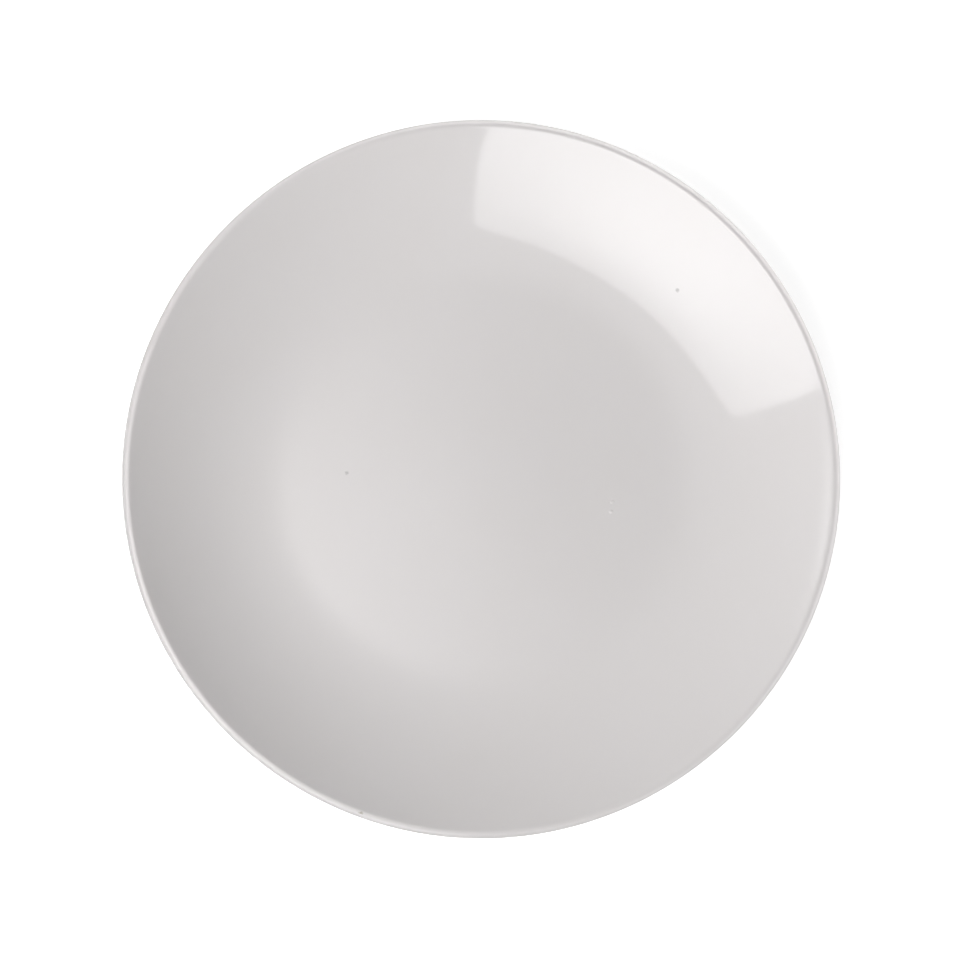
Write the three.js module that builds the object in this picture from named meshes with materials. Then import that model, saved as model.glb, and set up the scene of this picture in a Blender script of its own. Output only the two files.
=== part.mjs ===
// A coupe charger plate: one fired ceramic body and the three coats of glaze on it.
// The bare foot ring that the plate stands on separates the coat in its foot well from the other two.
// Millimetres and degrees, +Z up. The origin is the centre of the circle that the plate stands on.

import * as THREE from "three";

// The finished plate, measured over its glaze.
const OVERALL_DIAMETER = 305;
const OVERALL_HEIGHT = 30.5;

// The eating face from the middle outwards: each zone is an arc that ends at a diameter with a slope.
// The last zone, the upper flank, runs from the lower flank to the lip, so the height gives its slope.
const WELL_FLAT_DIAMETER = 60;
const WELL_DIAMETER = 165;
const WELL_SLOPE = 3.6;
const WELL_EDGE_DIAMETER = 187;
const WELL_EDGE_SLOPE = 10.6;
const LOWER_FLANK_DIAMETER = 244;
const LOWER_FLANK_SLOPE = 19.4;

// The clay under the glaze.
const BODY_THICKNESS = 4.8;
const LIP_THICKNESS = 3.2;

// The foot ring, measured at its root where it meets the underside.
const FOOT_HEIGHT = 3;
const FOOT_ROOT_DIAMETER = 183;
const FOOT_ROOT_WIDTH = 9.5;
const FOOT_DRAFT = 12;
const FOOT_FILLET_RADIUS = 2;
const FOOT_EDGE_RADIUS = 0.8;

// The glaze, and how much of the foot's walls it leaves bare above the rounded edges.
const GLAZE_THICKNESS = 0.3;
const BARE_FOOT_BAND = 0.8;

// Facets: how far one may lie from its curve, how far two neighbours may turn, and how many go round.
const FACET_SAG = 0.12;
const FACET_TURN = 30;
const SEGMENTS = 56;

const radians = THREE.MathUtils.degToRad;

// The point at a distance from another along a heading, which is an angle from the radial direction.
function ahead(point, heading, distance) {
  return new THREE.Vector2(Math.cos(heading), Math.sin(heading))
    .multiplyScalar(distance)
    .add(point);
}

// The point on the left of a heading at a distance, or on its right when the distance is negative.
function beside(point, heading, distance) {
  return ahead(point, heading + Math.PI / 2, distance);
}

// An arc that leaves a point along a heading and ends at another point.
// It is a straight line when that point lies dead ahead.
class TangentArc extends THREE.Curve {
  constructor(from, heading, to) {
    super();
    const chord = to.clone().sub(from);
    const along = ahead(new THREE.Vector2(), heading, 1);
    this.from = from;
    this.heading = heading;
    this.length = chord.length();
    this.turn = 2 * Math.atan2(along.cross(chord), along.dot(chord));
  }

  get facets() {
    const half = Math.abs(this.turn) / 2;
    if (half < 1e-9) return 1;
    const radius = this.length / (2 * Math.sin(half));
    const sag = 2 * Math.acos(Math.max(0, 1 - FACET_SAG / radius));
    return Math.ceil((2 * half) / Math.min(sag, radians(FACET_TURN)) - 1e-6);
  }

  headingAt(t) {
    return this.heading + t * this.turn;
  }

  getPoint(t) {
    const half = this.turn / 2;
    const share = Math.abs(half) < 1e-9 ? t : Math.sin(t * half) / Math.sin(half);
    return ahead(this.from, this.heading + t * half, this.length * share);
  }
}

// One side of the clay's section, drawn outwards from the axis as arcs that run into each other.
// Each station is a point of it with the heading of the surface there.
class Outline {
  constructor(start) {
    this.stations = [{ point: start, heading: 0 }];
  }

  get end() {
    return this.stations.at(-1);
  }

  arcTo(point) {
    const arc = new TangentArc(this.end.point, this.end.heading, point);
    const facets = arc.facets;
    for (let i = 1; i < facets; i++) {
      const t = i / facets;
      this.stations.push({ point: arc.getPoint(t), heading: arc.headingAt(t) });
    }
    this.stations.push({ point, heading: arc.headingAt(1) });
    return this;
  }

  // An arc of a given radius that ends with a given heading.
  bendTo(heading, radius) {
    const { point, heading: start } = this.end;
    const chord = 2 * radius * Math.sin(Math.abs(heading - start) / 2);
    return this.arcTo(ahead(point, (start + heading) / 2, chord));
  }
}

// The knots of the eating face, where one zone hands over to the next with a common slope.
const floorTop = FOOT_HEIGHT + BODY_THICKNESS;
const faceKnots = [{ point: new THREE.Vector2(0, floorTop), heading: 0 }];
for (const [diameter, slope] of [
  [WELL_FLAT_DIAMETER, 0],
  [WELL_DIAMETER, WELL_SLOPE],
  [WELL_EDGE_DIAMETER, WELL_EDGE_SLOPE],
  [LOWER_FLANK_DIAMETER, LOWER_FLANK_SLOPE],
]) {
  const before = faceKnots.at(-1);
  const heading = radians(slope);
  const reach = diameter / 2 - before.point.x;
  const chord = reach / Math.cos((before.heading + heading) / 2);
  faceKnots.push({
    point: ahead(before.point, (before.heading + heading) / 2, chord),
    heading,
  });
}

// The underside keeps the body's thickness below the face, up to where the upper flank begins.
const underKnots = faceKnots.map(({ point, heading }) => ({
  point: beside(point, heading, -BODY_THICKNESS),
  heading,
}));

// The underside at a radius: along an arc, the radius grows with the sine of the heading.
function undersideAt(radius) {
  const next = underKnots.findIndex(({ point }) => point.x > radius);
  const from = underKnots[next - 1];
  const to = underKnots[next];
  const share = (radius - from.point.x) / (to.point.x - from.point.x);
  const sine = THREE.MathUtils.lerp(Math.sin(from.heading), Math.sin(to.heading), share);
  const heading = Math.asin(sine);
  const middle = (from.heading + heading) / 2;
  const chord = (radius - from.point.x) / Math.cos(middle);
  return { point: ahead(from.point, middle, chord), heading };
}

// The lip is a full round, and both sides of the wall run into it.
const lipRadius = LIP_THICKNESS / 2;
const lipCentre = new THREE.Vector2(
  OVERALL_DIAMETER / 2 - GLAZE_THICKNESS - lipRadius,
  OVERALL_HEIGHT - GLAZE_THICKNESS - lipRadius,
);
const lipCrown = lipCentre.clone().setY(lipCentre.y + lipRadius);
const lipOutermost = lipCentre.clone().setX(lipCentre.x + lipRadius);

// Where an arc from a knot runs into the lip: on its upper side (1) or its lower side (-1).
// An arc at the lip's radius inside the wall would end at the lip's centre with the same heading.
function lipTangent({ point, heading }, side) {
  const inside = beside(point, heading, -side * lipRadius);
  const chord = lipCentre.clone().sub(inside);
  const arrival = 2 * Math.atan2(chord.y, chord.x) - heading;
  return beside(lipCentre, arrival, side * lipRadius);
}

function drawFace() {
  const face = new Outline(faceKnots[0].point);
  for (const { point } of faceKnots.slice(1)) face.arcTo(point);
  face.arcTo(lipTangent(face.end, 1));
  return face.arcTo(lipCrown);
}

// The underside with its foot ring. The glaze stops on the ring's straight walls.
function drawBack() {
  const wall = radians(90 - FOOT_DRAFT);
  const edgeHeight = FOOT_EDGE_RADIUS * (1 - Math.cos(wall));
  const glazeHeight = edgeHeight + BARE_FOOT_BAND;
  const inner = undersideAt(FOOT_ROOT_DIAMETER / 2 - FOOT_ROOT_WIDTH);
  const outer = undersideAt(FOOT_ROOT_DIAMETER / 2);

  // The point at a height on the straight wall through another point.
  const onWall = (point, heading, height) =>
    ahead(point, heading, (height - point.y) / Math.sin(heading));

  // A root fillet takes at most nine tenths of the wall above the edge of the glaze.
  const filletAt = ({ point, heading }) => {
    const room = (0.9 * (point.y - glazeHeight)) / (Math.cos(heading) - Math.cos(wall));
    return Math.min(FOOT_FILLET_RADIUS, room);
  };

  const back = new Outline(underKnots[0].point);
  for (const { point } of underKnots.slice(1)) {
    if (point.x < inner.point.x) back.arcTo(point);
  }
  back.arcTo(inner.point).bendTo(-wall, filletAt(inner));
  back.arcTo(onWall(back.end.point, -wall, glazeHeight));
  const wellGlazeEnd = back.stations.length;
  back.arcTo(onWall(back.end.point, -wall, edgeHeight));
  back.bendTo(0, FOOT_EDGE_RADIUS);

  // The outer wall is found from its root downwards, and drawn from the standing face upwards.
  const filletChord = 2 * filletAt(outer) * Math.sin((wall - outer.heading) / 2);
  const wallTop = ahead(outer.point, (wall + outer.heading) / 2, -filletChord);
  const wallFoot = onWall(wallTop, wall, edgeHeight);
  back.arcTo(new THREE.Vector2(wallFoot.x - FOOT_EDGE_RADIUS * Math.sin(wall), 0));
  back.bendTo(wall, FOOT_EDGE_RADIUS);
  back.arcTo(onWall(wallTop, wall, glazeHeight));
  const backGlazeStart = back.stations.length - 1;
  back.arcTo(wallTop).arcTo(outer.point);
  for (const { point } of underKnots) {
    if (point.x > outer.point.x) back.arcTo(point);
  }
  back.arcTo(lipTangent(back.end, -1)).arcTo(lipOutermost).arcTo(lipCrown);
  return { back, wellGlazeEnd, backGlazeStart };
}

// The two skins of a coat: the clay's own surface and the same surface a glaze thickness away from it.
function coatSkins(stations, side) {
  return {
    clay: stations.map(({ point }) => point),
    outside: stations.map(({ point, heading }) => beside(point, heading, side * GLAZE_THICKNESS)),
  };
}

// A section turned round the plate's axis, which the lathe takes as Y.
function revolve(points) {
  return new THREE.LatheGeometry(points, SEGMENTS);
}

// Turns a surface inside out.
function reversed(geometry) {
  const index = geometry.getIndex();
  for (let i = 0; i < index.count; i += 3) {
    const first = index.getX(i);
    index.setX(i, index.getX(i + 1));
    index.setX(i + 1, first);
  }
  const normals = geometry.getAttribute("normal").array;
  normals.forEach((value, i) => {
    normals[i] = -value;
  });
  return geometry;
}

const face = drawFace();
const { back, wellGlazeEnd, backGlazeStart } = drawBack();

// The body's section runs the other way round from a solid's, and its surface is turned out afterwards.
// So it passes each coat in the coat's own direction, and the facets where they touch are the same ones.
function bodyGeometry() {
  const faceOutwards = face.stations.map(({ point }) => point);
  const backInwards = back.stations.slice(0, -1).reverse();
  return reversed(revolve([...faceOutwards, ...backInwards.map(({ point }) => point)]));
}

function faceGlazeGeometry() {
  const { clay, outside } = coatSkins(face.stations, 1);
  return revolve([...clay, ...outside.reverse()]);
}

function backGlazeGeometry() {
  const { clay, outside } = coatSkins(back.stations.slice(backGlazeStart), -1);
  return revolve([...outside, ...clay.reverse(), outside[0]]);
}

function footWellGlazeGeometry() {
  const { clay, outside } = coatSkins(back.stations.slice(0, wellGlazeEnd), -1);
  return revolve([...outside, ...clay.reverse()]);
}

const bisque = new THREE.MeshStandardMaterial({ color: 0xe2dacd, roughness: 0.85, metalness: 0 });
const glaze = new THREE.MeshStandardMaterial({ color: 0xe4e4e2, roughness: 0.12, metalness: 0 });

function makeMesh(name, geometry, material) {
  const mesh = new THREE.Mesh(geometry, material);
  mesh.name = name;
  return mesh;
}

const plate = new THREE.Group();
plate.name = "charger_plate";
const upright = new THREE.Group();
upright.rotation.x = Math.PI / 2;
upright.add(
  makeMesh("ceramic_body", bodyGeometry(), bisque),
  makeMesh("face_glaze", faceGlazeGeometry(), glaze),
  makeMesh("back_glaze", backGlazeGeometry(), glaze),
  makeMesh("foot_well_glaze", footWellGlazeGeometry(), glaze),
);
plate.add(upright);

export default plate;
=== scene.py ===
"""A white coupe charger plate in glazed ceramic, seen from straight above on a white ground.

The plate is four pieces: the fired clay, and the coats of glaze on its face, on its back and inside its
foot. Each is a section turned round the plate's axis. Sizes are in millimetres unless a name says otherwise,
with +Z up and the origin at the centre of the circle that the plate stands on.
"""

import logging
import math
from collections.abc import Sequence
from dataclasses import dataclass
from enum import Enum

import bpy
from mathutils import Matrix, Vector


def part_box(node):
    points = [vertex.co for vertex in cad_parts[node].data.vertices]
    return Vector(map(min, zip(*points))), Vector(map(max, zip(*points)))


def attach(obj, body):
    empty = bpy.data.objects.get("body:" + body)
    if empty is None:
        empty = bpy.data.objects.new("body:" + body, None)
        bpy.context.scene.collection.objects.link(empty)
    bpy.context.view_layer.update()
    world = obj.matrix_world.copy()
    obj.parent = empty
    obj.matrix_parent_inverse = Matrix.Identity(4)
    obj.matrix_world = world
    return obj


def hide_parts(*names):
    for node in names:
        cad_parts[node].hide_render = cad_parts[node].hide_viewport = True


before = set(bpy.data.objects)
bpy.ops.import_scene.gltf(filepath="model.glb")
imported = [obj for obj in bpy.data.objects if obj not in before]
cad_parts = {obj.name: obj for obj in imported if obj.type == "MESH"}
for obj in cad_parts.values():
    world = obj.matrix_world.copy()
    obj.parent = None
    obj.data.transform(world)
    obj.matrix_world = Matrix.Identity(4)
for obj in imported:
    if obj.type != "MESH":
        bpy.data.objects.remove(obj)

MM = 0.001
WHITE = (1.0, 1.0, 1.0, 1.0)
LOG = logging.getLogger("charger_plate")

Colour = tuple[float, float, float]
Point = tuple[float, float]
RippledPoint = tuple[Point, float]
Socket = bpy.types.NodeSocket
Inputs = dict[int | str, object]


class Slot(Enum):
    """The record's material slots."""

    BISQUE = "bisque"
    GLAZE = "glaze"


class Side(Enum):
    """The side of the clay's section that a coat lies on, as the sign of its offset from the outline."""

    FACE = 1
    BACK = -1


class NodeSheet:
    """A node tree being filled in, with short ways to add its nodes and wire them up.

    MIX_UNDER, MIX_OVER and MIX_RESULT are where a Mix node keeps its colours.
    """

    MIX_UNDER = 6
    MIX_OVER = 7
    MIX_RESULT = 2

    def __init__(self, tree: bpy.types.NodeTree) -> None:
        """Starts from an empty tree, without the nodes that it came with."""
        self.tree = tree
        tree.nodes.clear()

    def add(self, kind: str, inputs: Inputs | None = None, **settings: object) -> bpy.types.Node:
        """Adds one node.

        Args:
            kind: The node's type, such as ShaderNodeMath.
            inputs: Values or output sockets for its inputs, by name or index.
            settings: Properties of the node itself, such as its operation.

        Returns:
            The new node.
        """
        node = self.tree.nodes.new(kind)
        for name, value in settings.items():
            setattr(node, name, value)
        for key, value in (inputs or {}).items():
            if isinstance(value, Socket):
                self.tree.links.new(value, node.inputs[key])
            else:
                node.inputs[key].default_value = value
        return node

    def through(
        self, kind: str, geometry: Socket, inputs: Inputs | None = None, **settings: object
    ) -> Socket:
        """Adds a node that a geometry goes through, and gives what comes out of it."""
        return self.add(kind, {0: geometry, **(inputs or {})}, **settings).outputs[0]

    def math(self, operation: str, first: object, second: object = 0.0, third: object = 0.0) -> Socket:
        """Adds a calculation with up to three numbers, and gives its result."""
        return self.add("ShaderNodeMath", {0: first, 1: second, 2: third}, operation=operation).outputs[0]

    def mix(self, share: object, under: object, over: object) -> Socket:
        """Adds a mix of two colours, in which the one over the other shows by its share."""
        inputs = {"Factor": share, self.MIX_UNDER: under, self.MIX_OVER: over}
        return self.add("ShaderNodeMix", inputs, data_type="RGBA").outputs[self.MIX_RESULT]

    def noise(self, place: Socket, scale: float, detail: float, roughness: float = 0.5) -> Socket:
        """Adds cloudy noise with so many swells to the metre, and gives its level from 0 to 1."""
        inputs = {"Vector": place, "Scale": scale, "Detail": detail, "Roughness": roughness}
        return self.add("ShaderNodeTexNoise", inputs).outputs["Fac"]

    def remap(self, value: object, given: Point, wanted: Point = (0.0, 1.0), eased: bool = False) -> Socket:
        """Adds a change of range, held to its ends.

        Args:
            value: The value or socket.
            given: The ends of the range that it comes in.
            wanted: The ends of the range that it leaves in.
            eased: Whether the change starts and stops gently.

        Returns:
            The value in its new range.
        """
        ends = {"From Min": given[0], "From Max": given[1], "To Min": wanted[0], "To Max": wanted[1]}
        curve = "SMOOTHSTEP" if eased else "LINEAR"
        return self.add("ShaderNodeMapRange", {"Value": value, **ends}, interpolation_type=curve).outputs[0]

    def fire(self, colour: Socket, roughness: Socket, ior: float, relief: Inputs) -> None:
        """Adds a fired surface and ends the material with it.

        Args:
            colour: Its colour.
            roughness: Its roughness.
            ior: Its refractive index.
            relief: The height, strength and distance of its fine relief.
        """
        normal = self.add("ShaderNodeBump", relief).outputs[0]
        look = {"Base Color": colour, "Roughness": roughness, "IOR": ior, "Normal": normal}
        shader = self.add("ShaderNodeBsdfPrincipled", look)
        self.add("ShaderNodeOutputMaterial", {"Surface": shader.outputs[0]})


def shader_sheet(name: str) -> tuple[bpy.types.Material, NodeSheet]:
    """A new material.

    Args:
        name: Its name.

    Returns:
        The material and its nodes, still empty.
    """
    material = bpy.data.materials.new(name)
    material.use_nodes = True
    return material, NodeSheet(material.node_tree)


def geometry_tree(name: str, inputs: dict[str, str], output: str) -> bpy.types.NodeTree:
    """A new Geometry Nodes tree with its sockets.

    Args:
        name: Its name.
        inputs: The kinds of its inputs, by name.
        output: The name of the geometry that it gives.

    Returns:
        The tree, still without nodes.
    """
    tree = bpy.data.node_groups.new(name, "GeometryNodeTree")
    for label, kind in inputs.items():
        tree.interface.new_socket(label, in_out="INPUT", socket_type=f"NodeSocket{kind}")
    tree.interface.new_socket(output, in_out="OUTPUT", socket_type="NodeSocketGeometry")
    return tree


def mesh_object(
    name: str,
    points: Sequence[tuple[float, float, float]],
    edges: Sequence[tuple[int, int]] = (),
    faces: Sequence[Sequence[int]] = (),
) -> bpy.types.Object:
    """An object with a new mesh.

    Args:
        name: The name of both.
        points: The vertices.
        edges: The pairs of vertices that are joined.
        faces: The rings of vertices that are filled.

    Returns:
        The object, linked to the scene.
    """
    mesh = bpy.data.meshes.new(name)
    mesh.from_pydata(points, edges, faces)
    made = bpy.data.objects.new(name, mesh)
    bpy.context.scene.collection.objects.link(made)
    return made


def bake(piece: bpy.types.Object, tree: bpy.types.NodeTree, inputs: dict[str, object]) -> None:
    """Runs a Geometry Nodes tree on an object and keeps the result as its mesh.

    Args:
        piece: The object.
        tree: The tree.
        inputs: Values for the tree's inputs, by name.
    """
    modifier = piece.modifiers.new(tree.name, "NODES")
    modifier.node_group = tree
    for item in tree.interface.items_tree:
        if item.item_type == "SOCKET" and item.in_out == "INPUT" and item.name in inputs:
            modifier[item.identifier] = inputs[item.name]
    graph = bpy.context.evaluated_depsgraph_get()
    made = bpy.data.meshes.new_from_object(piece.evaluated_get(graph), depsgraph=graph)
    source = piece.data
    piece.modifiers.remove(modifier)
    piece.data = made
    made.name = piece.name
    bpy.data.meshes.remove(source)


@dataclass(frozen=True)
class Facets:
    """How closely a chain of straight steps follows a curve.

    STRAIGHT is the half turn, in radians, under which a curve counts as straight. ROUNDING is the share of
    a step that doesn't call for one more.

    Attributes:
        sag: The most that a step may lie off its curve.
        turn: The most that two steps may turn, in degrees.
        reach: The longest step.
    """

    STRAIGHT = 1e-9
    ROUNDING = 1e-6

    sag: float
    turn: float
    reach: float

    def count(self, length: float, turn: float) -> int:
        """The number of steps for an arc.

        Args:
            length: The length of its chord.
            turn: The angle that it turns through, in radians.

        Returns:
            The number of steps, at least one.
        """
        half = abs(turn) / 2
        steps = length / self.reach
        if half > self.STRAIGHT:
            radius = length / (2 * math.sin(half))
            by_sag = 2 * math.acos(max(0.0, 1 - self.sag / radius))
            steps = max(2 * half * radius / self.reach, 2 * half / min(by_sag, math.radians(self.turn)))
        return max(1, math.ceil(steps - self.ROUNDING))


SEEN = Facets(sag=0.002, turn=7.5, reach=1.3)
HIDDEN = Facets(sag=0.05, turn=20.0, reach=12.0)


@dataclass(frozen=True)
class Station:
    """A point of the plate's section, with the way that the surface runs there.

    Attributes:
        radius: How far it is from the axis.
        height: How high it is over the table.
        heading: The way outwards along the surface, as an angle from the radial direction in radians.
    """

    radius: float
    height: float
    heading: float

    def ahead(self, distance: float, heading: float | None = None) -> Point:
        """The point at a distance along a heading, which is the station's own if none is given."""
        angle = self.heading if heading is None else heading
        return self.radius + distance * math.cos(angle), self.height + distance * math.sin(angle)

    def beside(self, distance: float) -> Point:
        """The point at a distance square to the surface, to the left of the heading."""
        return self.ahead(distance, self.heading + math.pi / 2)

    def along_wall(self, heading: float, height: float) -> Point:
        """The point at which a straight wall from here reaches a height."""
        return self.ahead((height - self.height) / math.sin(heading), heading)

    @property
    def point(self) -> Point:
        """The station's radius and height."""
        return self.radius, self.height


class Outline:
    """One side of the clay's section, drawn outwards from the axis as arcs that run into each other."""

    def __init__(self, start: Station, facets: Facets) -> None:
        """Starts at a station on the axis, to follow the arcs as closely as the facets say."""
        self.stations = [start]
        self.facets = facets

    @property
    def end(self) -> Station:
        """The last station so far."""
        return self.stations[-1]

    def arc_to(self, point: Point) -> "Outline":
        """Draws the arc that leaves the end along its heading, or a line if the point lies dead ahead.

        Args:
            point: Where the arc ends.

        Returns:
            The outline.
        """
        start = self.end
        east, north = point[0] - start.radius, point[1] - start.height
        cosine, sine = math.cos(start.heading), math.sin(start.heading)
        half = math.atan2(cosine * north - sine * east, cosine * east + sine * north)
        length = math.hypot(east, north)
        count = self.facets.count(length, 2 * half)
        straight = abs(half) < Facets.STRAIGHT
        for step in range(1, count + 1):
            share = step / count
            chord = share if straight else math.sin(share * half) / math.sin(half)
            where = start.ahead(length * chord, start.heading + share * half)
            self.stations.append(Station(*where, start.heading + 2 * share * half))
        return self

    def bend_to(self, heading: float, radius: float) -> "Outline":
        """Draws an arc of a given radius, which ends with a given heading."""
        chord = 2 * radius * math.sin(abs(heading - self.end.heading) / 2)
        return self.arc_to(self.end.ahead(chord, (self.end.heading + heading) / 2))


@dataclass(frozen=True)
class BackLine:
    """The underside's outline, with where its two coats of glaze end.

    Attributes:
        stations: The outline from the axis to the crown of the lip.
        well_end: The index of the last station under the foot well's coat.
        coat_start: The index of the first station under the back's coat.
    """

    stations: list[Station]
    well_end: int
    coat_start: int


@dataclass(frozen=True)
class PlateSection:
    """The plate's section, in the same driving sizes as the solids.

    Each zone of the face is an arc that ends at its diameter with its slope, in degrees.

    Attributes:
        overall_diameter: The diameter over the glaze.
        overall_height: The height over the glaze.
        glaze: The thickness of a coat.
        well_flat_diameter: The level middle.
        well_diameter: The well, which rises slowly.
        well_slope: Its last slope.
        well_edge_diameter: The quicker turn round the well.
        well_edge_slope: Its last slope.
        lower_flank_diameter: The flank up to the arc into the lip.
        lower_flank_slope: Its last slope.
        body_thickness: The clay's thickness up to there.
        lip_thickness: The thickness of the clay's lip.
        lip_shoulder: The radius of the roll from the face to the crown of the lip, for which the solids take
            half the lip's thickness.
        foot_height: The height of the floor inside the foot ring.
        foot_root_diameter: The outside of the foot ring at its root.
        foot_root_width: Its width there.
        foot_draft: How far its walls lean, in degrees.
        foot_fillet: The radius at its root.
        foot_edge: The radius of its standing edges.
        bare_band: How far up its walls it is wiped bare, over those edges.
    """

    overall_diameter: float
    overall_height: float
    glaze: float = 0.3
    well_flat_diameter: float = 60.0
    well_diameter: float = 165.0
    well_slope: float = 3.6
    well_edge_diameter: float = 187.0
    well_edge_slope: float = 10.6
    lower_flank_diameter: float = 244.0
    lower_flank_slope: float = 19.4
    body_thickness: float = 4.8
    lip_thickness: float = 3.2
    lip_shoulder: float = 4.0
    foot_height: float = 3.0
    foot_root_diameter: float = 183.0
    foot_root_width: float = 9.5
    foot_draft: float = 12.0
    foot_fillet: float = 2.0
    foot_edge: float = 0.8
    bare_band: float = 0.8

    @property
    def lip_centre(self) -> Station:
        """The centre of the lip's round."""
        inset = self.glaze + self.lip_thickness / 2
        return Station(self.overall_diameter / 2 - inset, self.overall_height - inset, 0.0)

    @property
    def lip_crown(self) -> Point:
        """The top of the clay's lip."""
        return self.lip_centre.beside(self.lip_thickness / 2)

    def knots(self) -> list[Station]:
        """Where one zone of the face hands over to the next.

        Returns:
            The stations, from the axis outwards.
        """
        knots = [Station(0.0, self.foot_height + self.body_thickness, 0.0)]
        for diameter, slope in (
            (self.well_flat_diameter, 0.0),
            (self.well_diameter, self.well_slope),
            (self.well_edge_diameter, self.well_edge_slope),
            (self.lower_flank_diameter, self.lower_flank_slope),
        ):
            before = knots[-1]
            heading = math.radians(slope)
            middle = (before.heading + heading) / 2
            chord = (diameter / 2 - before.radius) / math.cos(middle)
            knots.append(Station(*before.ahead(chord, middle), heading))
        return knots

    def under_knots(self) -> list[Station]:
        """The same hand-overs on the underside."""
        return [Station(*knot.beside(-self.body_thickness), knot.heading) for knot in self.knots()]

    def underside_at(self, radius: float) -> Station:
        """The underside at a radius, along whose arcs the radius grows with the sine of the heading.

        Args:
            radius: The radius.

        Returns:
            The station there.
        """
        knots = self.under_knots()
        following = next(i for i, knot in enumerate(knots) if knot.radius > radius)
        start, stop = knots[following - 1], knots[following]
        share = (radius - start.radius) / (stop.radius - start.radius)
        sine = math.sin(start.heading) * (1 - share) + math.sin(stop.heading) * share
        heading = math.asin(sine)
        middle = (start.heading + heading) / 2
        return Station(*start.ahead((radius - start.radius) / math.cos(middle), middle), heading)

    def lip_tangent(self, knot: Station, side: Side) -> Point:
        """Where an arc from a knot runs into the lip.

        Args:
            knot: Where the arc starts.
            side: The upper or the lower side of the wall.

        Returns:
            The point on the lip.
        """
        reach = self.lip_shoulder if side is Side.FACE else self.lip_thickness / 2
        centre = (self.lip_crown[0], self.lip_crown[1] - reach)
        inside = knot.beside(-side.value * reach)
        chord = math.atan2(centre[1] - inside[1], centre[0] - inside[0])
        return Station(*centre, 2 * chord - knot.heading).beside(side.value * reach)

    def face_line(self, facets: Facets) -> list[Station]:
        """The eating face from the axis to the crown of the lip.

        Args:
            facets: How closely to follow the arcs.

        Returns:
            Its stations.
        """
        knots = self.knots()
        line = Outline(knots[0], facets)
        for knot in knots[1:]:
            line.arc_to(knot.point)
        return line.arc_to(self.lip_tangent(line.end, Side.FACE)).arc_to(self.lip_crown).stations

    def back_line(self, facets: Facets) -> BackLine:
        """The underside with its foot ring, from the axis to the crown of the lip.

        Args:
            facets: How closely to follow the arcs.

        Returns:
            The outline with the ends of its coats.
        """
        wall = math.radians(90 - self.foot_draft)
        edge_height = self.foot_edge * (1 - math.cos(wall))
        glaze_height = edge_height + self.bare_band
        inner = self.underside_at(self.foot_root_diameter / 2 - self.foot_root_width)
        outer = self.underside_at(self.foot_root_diameter / 2)

        line = Outline(self.under_knots()[0], facets)
        for knot in self.under_knots()[1:]:
            if knot.radius < inner.radius:
                line.arc_to(knot.point)
        line.arc_to(inner.point).bend_to(-wall, self.foot_fillet)
        line.arc_to(line.end.along_wall(-wall, glaze_height))
        well_end = len(line.stations) - 1
        line.arc_to(line.end.along_wall(-wall, edge_height)).bend_to(0.0, self.foot_edge)

        chord = 2 * self.foot_fillet * math.sin((wall - outer.heading) / 2)
        wall_top = Station(*outer.ahead(-chord, (wall + outer.heading) / 2), wall)
        wall_foot = wall_top.along_wall(wall, edge_height)
        line.arc_to((wall_foot[0] - self.foot_edge * math.sin(wall), 0.0)).bend_to(wall, self.foot_edge)
        line.arc_to(wall_top.along_wall(wall, glaze_height))
        coat_start = len(line.stations) - 1
        line.arc_to(wall_top.point).arc_to(outer.point)
        for knot in self.under_knots():
            if knot.radius > outer.radius:
                line.arc_to(knot.point)
        centre = self.lip_centre
        outermost = (centre.radius + self.lip_thickness / 2, centre.height)
        line.arc_to(self.lip_tangent(line.end, Side.BACK)).arc_to(outermost).arc_to(self.lip_crown)
        return BackLine(line.stations, well_end, coat_start)

    def face_height(self, radius: float) -> float:
        """The height of the glazed face.

        Args:
            radius: The radius.

        Returns:
            The height over the table.
        """
        line = [station.beside(self.glaze) for station in self.face_line(SEEN)]
        for (r0, z0), (r1, z1) in zip(line, line[1:]):
            if radius <= r1:
                return z0 + (z1 - z0) * (radius - r0) / (r1 - r0)
        raise ValueError(f"radius {radius} is off the plate")


@dataclass(frozen=True)
class Mark:
    """A stain in the glaze, where a speck of iron or a thin place shows.

    RAGGED is how much its edge wanders, and CORE how far its full colour reaches, as shares of its radius.

    Attributes:
        place: Its position in plan.
        radius: How far it reaches.
        colour: Its colour at the middle.
        strength: How much of that colour shows there.
    """

    RAGGED = 0.9
    CORE = 0.35

    place: Point
    radius: float
    colour: Colour
    strength: float

    def lay(self, sheet: NodeSheet, plan: Socket, ragged: Socket, colour: Socket) -> Socket:
        """Lays the stain over a colour.

        Args:
            sheet: The material's nodes.
            plan: The position in plan, in metres.
            ragged: Fine noise that breaks up the stain's edge.
            colour: The colour under it.

        Returns:
            The colour with the stain.
        """
        reach = self.radius * MM
        centre = (self.place[0] * MM, self.place[1] * MM, 0.0)
        ends = {0: plan, 1: centre}
        away = sheet.add("ShaderNodeVectorMath", ends, operation="DISTANCE").outputs["Value"]
        uneven = sheet.math("MULTIPLY_ADD", ragged, reach * self.RAGGED, -reach * self.RAGGED / 2)
        edge = (reach, reach * self.CORE)
        share = sheet.remap(sheet.math("ADD", away, uneven), edge, (0.0, self.strength), eased=True)
        return sheet.mix(share, colour, (*self.colour, 1.0))


IRON: Colour = (0.10, 0.09, 0.08)
TAN: Colour = (0.34, 0.29, 0.21)
FACE_MARKS = (
    Mark((-58.1, 2.8), 1.1, IRON, 0.3),
    Mark((84.3, 81.2), 1.1, IRON, 0.4),
    Mark((-51.0, -141.8), 1.4, TAN, 0.6),
)


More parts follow.
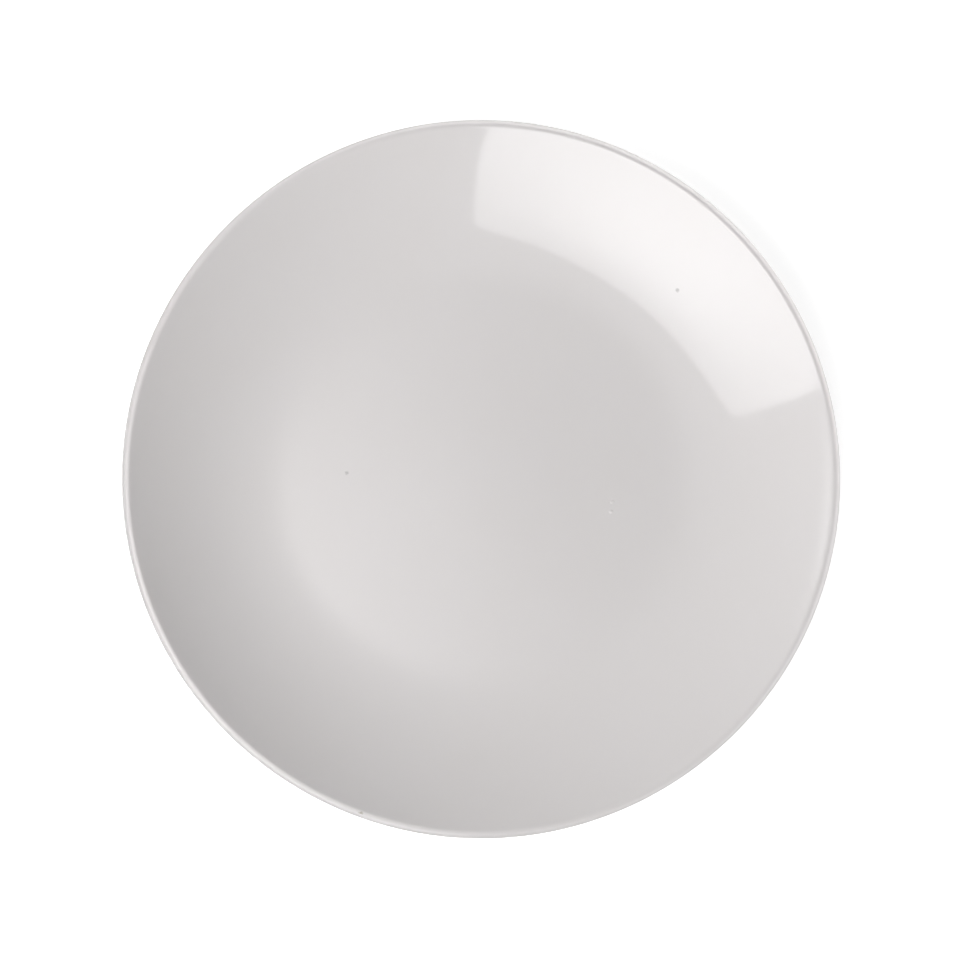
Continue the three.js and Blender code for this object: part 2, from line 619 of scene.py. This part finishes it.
@dataclass(frozen=True)
class GlazeFinish:
    """Clear glaze over white clay: a hard gloss with a faint unevenness, and the stains in it.

    Attributes:
        name: The material's name.
        colour: The colour of the clay through the glaze.
        warm: The colour where it clouds over.
        roughness: The least and the greatest roughness of its gloss.
        ior: Its refractive index.
        marks: The stains.
        cloud_scale: Clouds to the metre.
        cloud_edge: The levels of noise at which a cloud starts and is full.
        cloud_share: How much of the warm colour shows in a full cloud.
        gloss_scale: Changes of gloss to the metre.
        peel_scale: Fine dimples to the metre.
        peel_height: The depth of the dimples.
        peel_strength: How much of that depth shows.
        ragged_scale: Notches in a stain's edge to the metre.
    """

    name: str
    colour: Colour = (0.806, 0.779, 0.777)
    warm: Colour = (0.798, 0.768, 0.760)
    roughness: Point = (0.035, 0.07)
    ior: float = 1.52
    marks: tuple[Mark, ...] = ()
    cloud_scale: float = 28.0
    cloud_edge: Point = (0.35, 0.75)
    cloud_share: float = 0.55
    gloss_scale: float = 55.0
    peel_scale: float = 260.0
    peel_height: float = 0.004
    peel_strength: float = 0.25
    ragged_scale: float = 1800.0

    def build(self) -> bpy.types.Material:
        """Makes the material.

        Returns:
            The material, in object coordinates.
        """
        material, sheet = shader_sheet(self.name)
        place = sheet.add("ShaderNodeTexCoord").outputs["Object"]
        cloud = sheet.noise(place, self.cloud_scale, detail=3.0, roughness=0.55)
        clouded = sheet.remap(cloud, self.cloud_edge, (0.0, self.cloud_share))
        colour = sheet.mix(clouded, (*self.colour, 1.0), (*self.warm, 1.0))
        flatten = {0: place, 1: (1.0, 1.0, 0.0)}
        plan = sheet.add("ShaderNodeVectorMath", flatten, operation="MULTIPLY").outputs[0]
        ragged = sheet.noise(place, self.ragged_scale, detail=1.0)
        for mark in self.marks:
            colour = mark.lay(sheet, plan, ragged, colour)
        gloss = sheet.noise(place, self.gloss_scale, detail=2.0)
        roughness = sheet.remap(gloss, (0.0, 1.0), self.roughness)
        peel = sheet.noise(place, self.peel_scale, detail=1.5)
        dimples = {"Height": peel, "Strength": self.peel_strength, "Distance": self.peel_height * MM}
        sheet.fire(colour, roughness, self.ior, dimples)
        return material


@dataclass(frozen=True)
class BisqueFinish:
    """Bare fired clay: matt, faintly warm and gritty, with the standing face rubbed a little grey.

    Attributes:
        name: The material's name.
        colour: The colour of the clay.
        rubbed: Its colour where it is rubbed.
        roughness: Its roughness where it is whole and where it is scuffed.
        ior: Its refractive index.
        rubbed_height: How far up from the table it is rubbed.
        scuff_scale: Scuffs to the metre.
        scuff_edge: The levels of noise at which a scuff starts and is full.
        scuff_share: How much of the rubbed colour shows in a full scuff.
        grit_scale: Grains to the metre.
        grit_height: How far the grains stand out.
        grit_strength: How much of that shows.
    """

    name: str
    colour: Colour = (0.74, 0.695, 0.62)
    rubbed: Colour = (0.55, 0.52, 0.475)
    roughness: Point = (0.897, 0.624)
    ior: float = 1.5
    rubbed_height: float = 0.6
    scuff_scale: float = 130.0
    scuff_edge: Point = (0.42, 0.68)
    scuff_share: float = 0.8
    grit_scale: float = 2400.0
    grit_height: float = 0.04
    grit_strength: float = 0.5

    def build(self) -> bpy.types.Material:
        """Makes the material.

        Returns:
            The material, in object coordinates.
        """
        material, sheet = shader_sheet(self.name)
        place = sheet.add("ShaderNodeTexCoord").outputs["Object"]
        height = sheet.add("ShaderNodeSeparateXYZ", {0: place}).outputs["Z"]
        low = sheet.remap(height, (self.rubbed_height * MM, 0.0))
        scuff = sheet.noise(place, self.scuff_scale, detail=4.0, roughness=0.65)
        scuffed = sheet.remap(scuff, self.scuff_edge, (0.0, self.scuff_share))
        worn = sheet.math("MULTIPLY", low, scuffed)
        colour = sheet.mix(worn, (*self.colour, 1.0), (*self.rubbed, 1.0))
        roughness = sheet.remap(scuff, (0.0, 1.0), self.roughness)
        grit = sheet.noise(place, self.grit_scale, detail=2.0)
        grains = {"Height": grit, "Strength": self.grit_strength, "Distance": self.grit_height * MM}
        sheet.fire(colour, roughness, self.ior, grains)
        return material


@dataclass(frozen=True)
class Ripple:
    """The faint unevenness of a fired surface.

    Attributes:
        height: The height of its swells, from hollow to crest.
        size: How far apart they are.
        seed: Which of the many such surfaces it is.
    """

    height: float = 0.0
    size: float = 30.0
    seed: float = 4.0


class RevolveTree:
    """The Geometry Nodes tree that turns a section round the plate's axis.

    The section is a chain of vertices in the XZ plane, whose "ripple" attribute says how much of the
    unevenness each one takes. The chain's ends lie on the axis or on each other, and vertices within WELD
    of each other are joined, so that the surface closes. Edges that turn by more than CREASE degrees, such
    as the cut edge of a coat, are left out of the smooth shading.
    """

    NAME = "revolve_section"
    WELD = 1e-4
    CREASE = 40.0

    def __init__(self) -> None:
        """Builds the tree."""
        inputs = {
            "Section": "Geometry",
            "Segments": "Int",
            "Ripple Height": "Float",
            "Ripple Size": "Float",
            "Ripple Seed": "Float",
            "Material": "Material",
        }
        self.tree = geometry_tree(self.NAME, inputs, "Surface")
        self._fill()

    def _fill(self) -> None:
        """Adds the nodes: a grid with a row for each station, turned, rippled, closed and dressed."""
        sheet = NodeSheet(self.tree)
        given = sheet.add("NodeGroupInput").outputs
        section, segments = given["Section"], given["Segments"]
        stations = sheet.add("GeometryNodeAttributeDomainSize", {0: section}).outputs["Point Count"]
        columns = sheet.math("ADD", segments, 1.0)
        grid = sheet.add("GeometryNodeMeshGrid", {"Vertices X": stations, "Vertices Y": columns}).outputs
        index = sheet.math("ADD", sheet.add("GeometryNodeInputIndex").outputs[0], 0.5)
        row = sheet.math("FLOOR", sheet.math("DIVIDE", index, columns))
        column = sheet.math("FLOOR", sheet.math("MODULO", index, columns))
        angle = sheet.math("DIVIDE", sheet.math("MULTIPLY", column, math.tau), segments)

        position = sheet.add("GeometryNodeInputPosition").outputs[0]
        place_in_row = {"Value": position, "Index": row}
        station = sheet.through("GeometryNodeSampleIndex", section, place_in_row, data_type="FLOAT_VECTOR")
        turn = {"Vector": station, "Angle": angle}
        turned = sheet.add("ShaderNodeVectorRotate", turn, rotation_type="Z_AXIS").outputs[0]
        unevenness = {
            "Vector": turned,
            "W": given["Ripple Seed"],
            "Scale": sheet.math("DIVIDE", 1.0, given["Ripple Size"]),
            "Detail": 1.0,
            "Roughness": 0.4,
        }
        swell = sheet.add("ShaderNodeTexNoise", unevenness, noise_dimensions="4D").outputs["Fac"]
        ripple = sheet.add("GeometryNodeInputNamedAttribute", {"Name": "ripple"}).outputs["Attribute"]
        share_in_row = {"Value": ripple, "Index": row}
        share = sheet.through("GeometryNodeSampleIndex", section, share_in_row, data_type="FLOAT")
        height = sheet.math("MULTIPLY", sheet.math("SUBTRACT", swell, 0.5), given["Ripple Height"])
        lift = sheet.add("ShaderNodeCombineXYZ", {"Z": sheet.math("MULTIPLY", height, share)}).outputs[0]
        raised = sheet.add("ShaderNodeVectorMath", {0: turned, 1: lift}, operation="ADD").outputs[0]

        surface = sheet.through(
            "GeometryNodeStoreNamedAttribute",
            grid["Mesh"],
            {"Name": "UVMap", "Value": grid["UV Map"]},
            data_type="FLOAT2",
            domain="CORNER",
        )
        surface = sheet.through("GeometryNodeSetPosition", surface, {"Position": raised})
        surface = sheet.through("GeometryNodeMergeByDistance", surface, {"Distance": self.WELD * MM})
        surface = sheet.through("GeometryNodeFlipFaces", surface)
        surface = sheet.through("GeometryNodeSetShadeSmooth", surface, {"Shade Smooth": True})
        bend = sheet.add("GeometryNodeInputMeshEdgeAngle").outputs["Unsigned Angle"]
        sharp = sheet.math("GREATER_THAN", bend, math.radians(self.CREASE))
        crease = {"Selection": sharp, "Shade Smooth": False}
        surface = sheet.through("GeometryNodeSetShadeSmooth", surface, crease, domain="EDGE")
        surface = sheet.through("GeometryNodeRealizeInstances", surface)
        surface = sheet.through("GeometryNodeSetMaterial", surface, {"Material": given["Material"]})
        sheet.add("NodeGroupOutput", {"Surface": surface})


@dataclass
class Turned:
    """A piece of the plate that is a section turned round its axis.

    Attributes:
        node: The solid that it stands for.
        slot: The record's slot for its material, which is not used.
        section: The plate's section.
        finish: Its material.
        segments: How many steps go round it.
        ripple: Its unevenness.
    """

    node: str
    slot: Slot
    section: PlateSection
    finish: GlazeFinish | BisqueFinish
    segments: int = 480
    ripple: Ripple = Ripple()

    def outline(self) -> list[RippledPoint]:
        """The section's points, each with its share of the ripple, anticlockwise round the piece."""
        raise NotImplementedError

    def build(self, tree: RevolveTree) -> bpy.types.Object:
        """Makes the piece and puts it in the place of its solid.

        Args:
            tree: The tree that turns it.

        Returns:
            The piece.
        """
        outline = self.outline()
        points = [(r * MM, 0.0, z * MM) for (r, z), _ in outline]
        chain = [(i, i + 1) for i in range(len(points) - 1)]
        piece = mesh_object(f"{self.node}_piece", points, edges=chain)
        shares = piece.data.attributes.new("ripple", "FLOAT", "POINT")
        shares.data.foreach_set("value", [share for _, share in outline])
        inputs = {
            "Segments": self.segments,
            "Ripple Height": self.ripple.height * MM,
            "Ripple Size": self.ripple.size * MM,
            "Ripple Seed": self.ripple.seed,
            "Material": self.finish.build(),
        }
        bake(piece, tree.tree, inputs)
        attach(piece, "root")
        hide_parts(self.node)
        return piece


class ClayBody(Turned):
    """The fired clay. Only the foot ring shows, so the rest is as fine as the inside of the glaze."""

    def outline(self) -> list[RippledPoint]:
        """The section from the axis under the plate, round the lip and back to the axis on the face.

        Returns:
            Its points, all without ripple.
        """
        hidden = self.section.back_line(HIDDEN)
        seen = self.section.back_line(SEEN)
        under = hidden.stations[: hidden.well_end]
        foot = seen.stations[seen.well_end : seen.coat_start]
        outside = hidden.stations[hidden.coat_start : -1]
        face = reversed(self.section.face_line(HIDDEN))
        return [(station.point, 0.0) for station in (*under, *foot, *outside, *face)]


@dataclass
class Coat(Turned):
    """A coat of glaze: the clay's surface on one side, and on the other the same a glaze thickness away.

    EDGE_STEPS is the number of steps in its rounded edge at the foot.

    Attributes:
        still: How far in from the outline the ripple has died away, and over what width it does so.
    """

    EDGE_STEPS = 5

    still: float = 6.0

    def skin(self, stations: Sequence[Station], side: Side) -> list[RippledPoint]:
        """The outside of a coat.

        Args:
            stations: The clay under it.
            side: The side of the section that it lies on.

        Returns:
            Its points, with their shares of the ripple.
        """
        rim = self.section.overall_diameter / 2 - self.still
        points = []
        for station in stations:
            share = min(1.0, max(0.0, (rim - station.radius) / self.still))
            points.append((station.beside(side.value * self.section.glaze), share))
        return points

    def rolled(self, station: Station, onwards: float) -> list[RippledPoint]:
        """The rounded edge of a coat of the back, from its outside down to the clay.

        Args:
            station: Where the coat ends.
            onwards: 1 if the coat ends there, or -1 if it starts there.

        Returns:
            The points between the outside and the clay, without ripple.
        """
        glaze = self.section.glaze
        centre = Station(*station.ahead(-onwards * glaze), station.heading)
        points = []
        for step in range(self.EDGE_STEPS):
            lean = step / self.EDGE_STEPS * math.pi / 2
            out = Station(*centre.beside(-glaze * math.cos(lean)), station.heading)
            points.append((out.ahead(onwards * glaze * math.sin(lean)), 0.0))
        return points


@dataclass
class FaceCoat(Coat):
    """The coat on the eating face, from the middle to the crown of the lip."""

    def outline(self) -> list[RippledPoint]:
        """The section from the axis out along the clay and back along the outside."""
        clay = [(station.point, 0.0) for station in self.section.face_line(HIDDEN)]
        return clay + self.skin(self.section.face_line(SEEN), Side.FACE)[::-1]


@dataclass
class BackCoat(Coat):
    """The coat from the crown of the lip down the outside to the wiped line on the foot ring."""

    def outline(self) -> list[RippledPoint]:
        """The section from the wiped line out to the lip and back along the clay.

        Returns:
            Its points, with their shares of the ripple.
        """
        seen = self.section.back_line(SEEN)
        hidden = self.section.back_line(HIDDEN)
        start = seen.stations[seen.coat_start]
        edge = self.rolled(start, -1.0)[::-1]
        outside = self.skin(seen.stations[seen.coat_start + 1 :], Side.BACK)
        clay = [(station.point, 0.0) for station in hidden.stations[hidden.coat_start :]]
        return [(start.point, 0.0), *edge, *outside, *clay[::-1]]


@dataclass
class FootWellCoat(Coat):
    """The coat on the floor inside the foot ring."""

    def outline(self) -> list[RippledPoint]:
        """The section from the axis out along the outside and back along the clay.

        Returns:
            Its points, with their shares of the ripple.
        """
        seen = self.section.back_line(SEEN)
        hidden = self.section.back_line(HIDDEN)
        outside = self.skin(seen.stations[: seen.well_end], Side.BACK)
        edge = self.rolled(seen.stations[seen.well_end], 1.0)
        clay = [(station.point, 0.0) for station in hidden.stations[: hidden.well_end + 1]]
        return [*outside, *edge, *clay[::-1]]


@dataclass
class GlazeNibs:
    """Grains of grit under the glaze, which stand out of the face as small raised nibs.

    Each nib is the top quarter of a flattened ball. FULL_HEIGHT and FULL_WIDTH are the ball's, as multiples
    of what stands out of the face.

    Attributes:
        section: The plate's section, for the height of the face.
        finish: The glaze over them.
        places: Their positions in plan.
        width: How wide each one is, give or take.
        rise: How far it stands out of the face.
        sizes: The least and the greatest share of that width.
        oval: Its length along Y, as a share of that along X.
        seed: Which draw of the sizes it is.
    """

    FULL_HEIGHT = 4.0
    FULL_WIDTH = 2 / math.sqrt(3)

    section: PlateSection
    finish: GlazeFinish
    places: tuple[Point, ...]
    width: float = 1.9
    rise: float = 0.2
    sizes: Point = (0.8, 1.15)
    oval: float = 0.82
    seed: int = 3

    def tree(self) -> bpy.types.NodeTree:
        """The Geometry Nodes tree that puts a flat grain at each point.

        Returns:
            The tree.
        """
        inputs = {"Places": "Geometry", "Width": "Float", "Rise": "Float", "Seed": "Int"}
        tree = geometry_tree("scatter_nibs", {**inputs, "Material": "Material"}, "Nibs")
        sheet = NodeSheet(tree)
        given = sheet.add("NodeGroupInput").outputs
        grain = sheet.add("GeometryNodeMeshIcoSphere", {"Radius": 0.5, "Subdivisions": 4}).outputs["Mesh"]
        draw = {2: self.sizes[0], 3: self.sizes[1], "Seed": given["Seed"]}
        size = sheet.add("FunctionNodeRandomValue", draw, data_type="FLOAT").outputs[1]
        across = sheet.math("MULTIPLY", sheet.math("MULTIPLY", given["Width"], self.FULL_WIDTH), size)
        along = sheet.math("MULTIPLY", across, self.oval)
        high = sheet.math("MULTIPLY", given["Rise"], self.FULL_HEIGHT)
        shape = sheet.add("ShaderNodeCombineXYZ", {"X": across, "Y": along, "Z": high}).outputs[0]
        put = {"Instance": grain, "Scale": shape}
        nibs = sheet.through("GeometryNodeInstanceOnPoints", given["Places"], put)
        nibs = sheet.through("GeometryNodeRealizeInstances", nibs)
        nibs = sheet.through("GeometryNodeSetShadeSmooth", nibs, {"Shade Smooth": True})
        nibs = sheet.through("GeometryNodeSetMaterial", nibs, {"Material": given["Material"]})
        sheet.add("NodeGroupOutput", {"Nibs": nibs})
        return tree

    def build(self) -> bpy.types.Object:
        """Makes the nibs.

        Returns:
            The piece.
        """
        points = []
        for x, y in self.places:
            sunk = self.section.face_height(math.hypot(x, y)) - self.rise
            points.append((x * MM, y * MM, sunk * MM))
        piece = mesh_object("glaze_nibs", points)
        inputs = {
            "Width": self.width * MM,
            "Rise": self.rise * MM,
            "Seed": self.seed,
            "Material": self.finish.build(),
        }
        bake(piece, self.tree(), inputs)
        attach(piece, "root")
        return piece


@dataclass(frozen=True)
class Softbox:
    """A rectangular lamp on a stand beside the plate.

    CORNER_STEPS is the number of steps in each of its rounded corners.

    Attributes:
        name: Its name.
        azimuth: Its direction in plan, in degrees anticlockwise from +X.
        distance: How far its middle is from the plate's axis.
        height: How high its middle is over the table.
        tilt: How far it looks down, in degrees.
        half_width: Half its width.
        half_height: Half its height.
        strength: The radiance at its middle.
        yaw: How far it looks past the plate's axis, in degrees.
        roll: How far it is turned about its own axis, in degrees.
        slant: How much the radiance grows towards its right and its top edge, as shares.
        rim: The radiance at its frame, as a share of that at its middle.
        fade: How far in from its sides and from its top and bottom that share lasts, in half sizes.
        corners: How far its rounded upper and lower corners reach across and up, in half sizes.
        mirrored: Whether the glaze mirrors it.
        flagged: What a flag keeps its light off.
    """

    CORNER_STEPS = 8

    name: str
    azimuth: float
    distance: float
    height: float
    tilt: float
    half_width: float
    half_height: float
    strength: float
    yaw: float = 0.0
    roll: float = 0.0
    slant: Point = (0.0, 0.0)
    rim: float = 1.0
    fade: Point = (0.5, 0.5)
    corners: tuple[Point, Point] = ((0.0, 0.0), (0.0, 0.0))
    mirrored: bool = True
    flagged: tuple[bpy.types.Object, ...] = ()

    def build(self) -> bpy.types.Object:
        """Makes the lamp as a glowing panel that the camera doesn't see.

        Returns:
            The panel.
        """
        edge = self.edge()
        panel = mesh_object(self.name, [(x, y, 0.0) for x, y in edge], faces=[range(len(edge))])
        panel.matrix_world = self.stance()
        panel.data.materials.append(self.glow())
        panel.visible_camera = False
        panel.visible_glossy = self.mirrored
        panel.visible_shadow = False
        if self.flagged:
            shaded = bpy.data.collections.new(f"{self.name}_flag")
            for piece in self.flagged:
                shaded.objects.link(piece)
            for member in shaded.collection_objects:
                member.light_linking.link_state = "EXCLUDE"
            panel.light_linking.receiver_collection = shaded
        return panel

    def edge(self) -> list[Point]:
        """The panel's edge with its rounded corners, anticlockwise.

        Returns:
            Its points, in half sizes.
        """
        upper, lower = self.corners
        edge = []
        for quarter, (right, top) in enumerate(((1, 1), (-1, 1), (-1, -1), (1, -1))):
            wide, high = upper if top > 0 else lower
            for step in range(self.CORNER_STEPS + 1):
                angle = (quarter + step / self.CORNER_STEPS) * math.pi / 2
                x = right * (1 - wide) + wide * math.cos(angle)
                y = top * (1 - high) + high * math.sin(angle)
                edge.append((x, y))
        return list(dict.fromkeys(edge))

    def stance(self) -> Matrix:
        """Where the lamp stands, with its right, its top and the way it looks as the axes.

        Returns:
            The matrix from half sizes to metres.
        """
        azimuth, tilt = math.radians(self.azimuth), math.radians(self.tilt)
        facing = azimuth + math.radians(self.yaw)
        level = math.cos(tilt)
        look = Vector((-math.cos(facing) * level, -math.sin(facing) * level, -math.sin(tilt)))
        sideways = Vector((0.0, 0.0, 1.0)).cross(look).normalized()
        turn = Matrix.Rotation(math.radians(self.roll), 3, look)
        right = turn @ sideways
        top = turn @ look.cross(sideways)
        axes = Matrix((right * self.half_width * MM, top * self.half_height * MM, look)).transposed()
        x, y = self.distance * math.cos(azimuth), self.distance * math.sin(azimuth)
        return Matrix.Translation(Vector((x, y, self.height)) * MM) @ axes.to_4x4()

    def glow(self) -> bpy.types.Material:
        """The panel's light, which grows from the frame to the middle and comes only from its front.

        Returns:
            The material.
        """
        material, sheet = shader_sheet(f"{self.name}_light")
        place = sheet.add("ShaderNodeTexCoord").outputs["Object"]
        across = sheet.add("ShaderNodeSeparateXYZ", {0: place}).outputs
        core = 1.0 - self.rim
        for axis, fade in zip(("X", "Y"), self.fade):
            inwards = sheet.remap(sheet.math("ABSOLUTE", across[axis]), (1.0, 1.0 - fade), eased=True)
            core = sheet.math("MULTIPLY", inwards, core)
        to_right = sheet.math("MULTIPLY", across["X"], self.slant[0])
        to_top = sheet.math("MULTIPLY", across["Y"], self.slant[1])
        slanted = sheet.math("ADD", sheet.math("ADD", to_right, to_top), 1.0)
        level = sheet.math("MULTIPLY", sheet.math("ADD", core, self.rim), slanted)
        front = sheet.math("SUBTRACT", 1.0, sheet.add("ShaderNodeNewGeometry").outputs["Backfacing"])
        shown = sheet.math("MULTIPLY", sheet.math("MULTIPLY", level, self.strength), front)
        lamp = sheet.add("ShaderNodeEmission", {"Strength": shown})
        sheet.add("ShaderNodeOutputMaterial", {"Surface": lamp.outputs[0]})
        return material


def seen_directly(sheet: NodeSheet) -> Socket:
    """One for a ray from the camera, a mirror or clear glass, and nought for a ray that lights the plate.

    Args:
        sheet: The nodes to add to.

    Returns:
        The value.
    """
    path = sheet.add("ShaderNodeLightPath").outputs
    direct = sheet.math("MAXIMUM", path["Is Camera Ray"], path["Is Glossy Ray"])
    return sheet.math("MAXIMUM", direct, path["Is Transmission Ray"])


@dataclass(frozen=True)
class Ground:
    """The white ground, which still takes the plate's shadow.

    Attributes:
        white: Its own white by the plate, short of full white so that the shadow shows.
        near: How far from the axis that lasts.
        far: How far from the axis it is full white.
        half_width: Half its width.
        paper: How much of the lamps' light it gives back.
    """

    white: float = 0.87
    near: float = 250.0
    far: float = 900.0
    half_width: float = 20000.0
    paper: float = 0.8

    def build(self) -> bpy.types.Object:
        """Makes the ground.

        Returns:
            The ground.
        """
        reach = self.half_width * MM
        corners = [(-reach, -reach, 0.0), (reach, -reach, 0.0), (reach, reach, 0.0), (-reach, reach, 0.0)]
        ground = mesh_object("ground", corners, faces=[range(len(corners))])
        material, sheet = shader_sheet("white_ground")
        place = sheet.add("ShaderNodeTexCoord").outputs["Object"]
        away = sheet.add("ShaderNodeVectorMath", {0: place}, operation="LENGTH").outputs["Value"]
        own = sheet.remap(away, (self.near * MM, self.far * MM), (self.white, 1.0))
        shown = sheet.math("MULTIPLY", seen_directly(sheet), own)
        white = sheet.add("ShaderNodeEmission", {"Strength": shown})
        paper = sheet.add("ShaderNodeBsdfDiffuse", {"Color": (self.paper, self.paper, self.paper, 1.0)})
        both = sheet.add("ShaderNodeAddShader", {0: white.outputs[0], 1: paper.outputs[0]})
        sheet.add("ShaderNodeOutputMaterial", {"Surface": both.outputs[0]})
        ground.data.materials.append(material)
        return ground


@dataclass(frozen=True)
class Studio:
    """The lamps, the room and the camera straight above the plate.

    Attributes:
        section: The plate's section, for the height of its lip.
        lamps: The lamps.
        ambient: The radiance of the room.
        lean: How much brighter the room is on its brighter side.
        lean_azimuth: The direction of that side, in degrees.
        lens: The camera's focal length.
        field_width: The width of the picture at the lip.
        aim: The point in plan that the camera stands over.
        sensor: The width of the camera's sensor.
    """

    section: PlateSection
    lamps: tuple[Softbox, ...]
    ambient: float = 0.058
    lean: float = 0.139
    lean_azimuth: float = 136.7
    lens: float = 85.0
    field_width: float = 407.3
    aim: Point = (-0.45, -0.32)
    sensor: float = 36.0

    def build(self) -> None:
        """Makes the lamps, the room's light and the camera."""
        for lamp in self.lamps:
            lamp.build()
        self._room()
        self._camera()
        bpy.context.scene.view_settings.view_transform = "Standard"

    def _room(self) -> None:
        """Lights the world: white where the camera sees it, and the room's own level elsewhere."""
        world = bpy.data.worlds.new("room")
        world.use_nodes = True
        bpy.context.scene.world = world
        sheet = NodeSheet(world.node_tree)
        azimuth = math.radians(self.lean_azimuth)
        brighter = (math.cos(azimuth), math.sin(azimuth), 0.0)
        towards = {0: sheet.add("ShaderNodeTexCoord").outputs["Generated"], 1: brighter}
        lean = sheet.add("ShaderNodeVectorMath", towards, operation="DOT_PRODUCT").outputs["Value"]
        level = sheet.math("ADD", sheet.math("MULTIPLY", lean, self.lean), self.ambient)
        level = sheet.math("MAXIMUM", level, 0.0)
        room = sheet.add("ShaderNodeBackground", {"Color": WHITE, "Strength": level}).outputs[0]
        white = sheet.add("ShaderNodeBackground", {"Color": WHITE}).outputs[0]
        mix = sheet.add("ShaderNodeMixShader", {0: seen_directly(sheet), 1: room, 2: white})
        sheet.add("ShaderNodeOutputWorld", {"Surface": mix.outputs[0]})

    def _camera(self) -> None:
        """Puts the camera straight above the plate."""
        data = bpy.data.cameras.new("camera")
        data.lens = self.lens
        data.sensor_width = self.sensor
        camera = bpy.data.objects.new("camera", data)
        distance = self.field_width * self.lens / self.sensor
        camera.location = Vector((*self.aim, self.section.lip_centre.height + distance)) * MM
        bpy.context.scene.collection.objects.link(camera)
        bpy.context.scene.camera = camera


def plate_section() -> PlateSection:
    """The plate's section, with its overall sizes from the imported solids."""
    low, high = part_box("back_glaze")
    return PlateSection(round((high[0] - low[0]) / MM, 3), round(high[2] / MM, 3))


def softboxes(
    face: bpy.types.Object, back: bpy.types.Object, nibs: bpy.types.Object, ground: bpy.types.Object
) -> tuple[Softbox, ...]:
    """The lamps: a large one at the lower left, two at the left and a fill behind the upper right rim.

    Args:
        face: The coat on the face, which the fill doesn't light.
        back: The coat on the back, which the low strip doesn't light.
        nibs: The nibs on the face, which the fill doesn't light.
        ground: The ground, which the fill doesn't light.

    Returns:
        The lamps, not built yet.
    """
    key = Softbox(
        "key_softbox",
        azimuth=230.7, distance=1327.0, height=2535.0,
        yaw=4.8, tilt=2.0, roll=0.4,
        half_width=1050.0, half_height=1300.0, corners=((0.12, 0.3), (0.5, 0.9)),
        strength=5.95, slant=(-0.006, -0.277), rim=0.70, fade=(0.93, 0.88),
    )
    strip = Softbox(
        "low_strip",
        azimuth=179.7, distance=400.0, height=140.0,
        yaw=40.0, tilt=59.9, roll=8.2,
        half_width=441.0, half_height=40.0,
        strength=8.8, rim=0.70, fade=(0.12, 0.19),
        mirrored=False, flagged=(back,),
    )
    side = Softbox(
        "side_panel",
        azimuth=173.0, distance=571.0, height=724.0,
        tilt=44.0,
        half_width=424.0, half_height=79.0,
        strength=5.2, rim=0.22, fade=(0.4, 0.99),
    )
    fill = Softbox(
        "rim_fill",
        azimuth=38.0, distance=820.0, height=440.0,
        tilt=28.0,
        half_width=1300.0, half_height=350.0,
        strength=2.0,
        mirrored=False, flagged=(face, nibs, ground),
    )
    return key, strip, side, fill


def main() -> None:
    """Builds the plate and its studio, and logs its size, taken from the solids, and each piece's face
    count.
    """
    logging.basicConfig(level=logging.INFO, format="%(name)s %(message)s")
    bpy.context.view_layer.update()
    section = plate_section()
    LOG.info("section: %.2f mm across, %.2f mm high", section.overall_diameter, section.overall_height)

    bare = BisqueFinish("bisque_white")
    marked = GlazeFinish("face_glaze_white", marks=FACE_MARKS)
    plain = GlazeFinish("glaze_white")
    swell = Ripple(height=0.032, size=19.0)
    tree = RevolveTree()
    body = ClayBody("ceramic_body", Slot.BISQUE, section, bare).build(tree)
    face = FaceCoat("face_glaze", Slot.GLAZE, section, marked, ripple=swell).build(tree)
    back = BackCoat("back_glaze", Slot.GLAZE, section, plain, ripple=swell).build(tree)
    floor = FootWellCoat("foot_well_glaze", Slot.GLAZE, section, plain, segments=360, ripple=swell)
    well = floor.build(tree)
    nibs = GlazeNibs(section, plain, places=((56.9, -9.8), (56.4, -14.0))).build()
    for piece in (body, face, back, well, nibs):
        LOG.info("%s: %d faces", piece.name, len(piece.data.polygons))

    ground = Ground().build()
    Studio(section, lamps=softboxes(face, back, nibs, ground)).build()


if __name__ == "__main__":
    main()
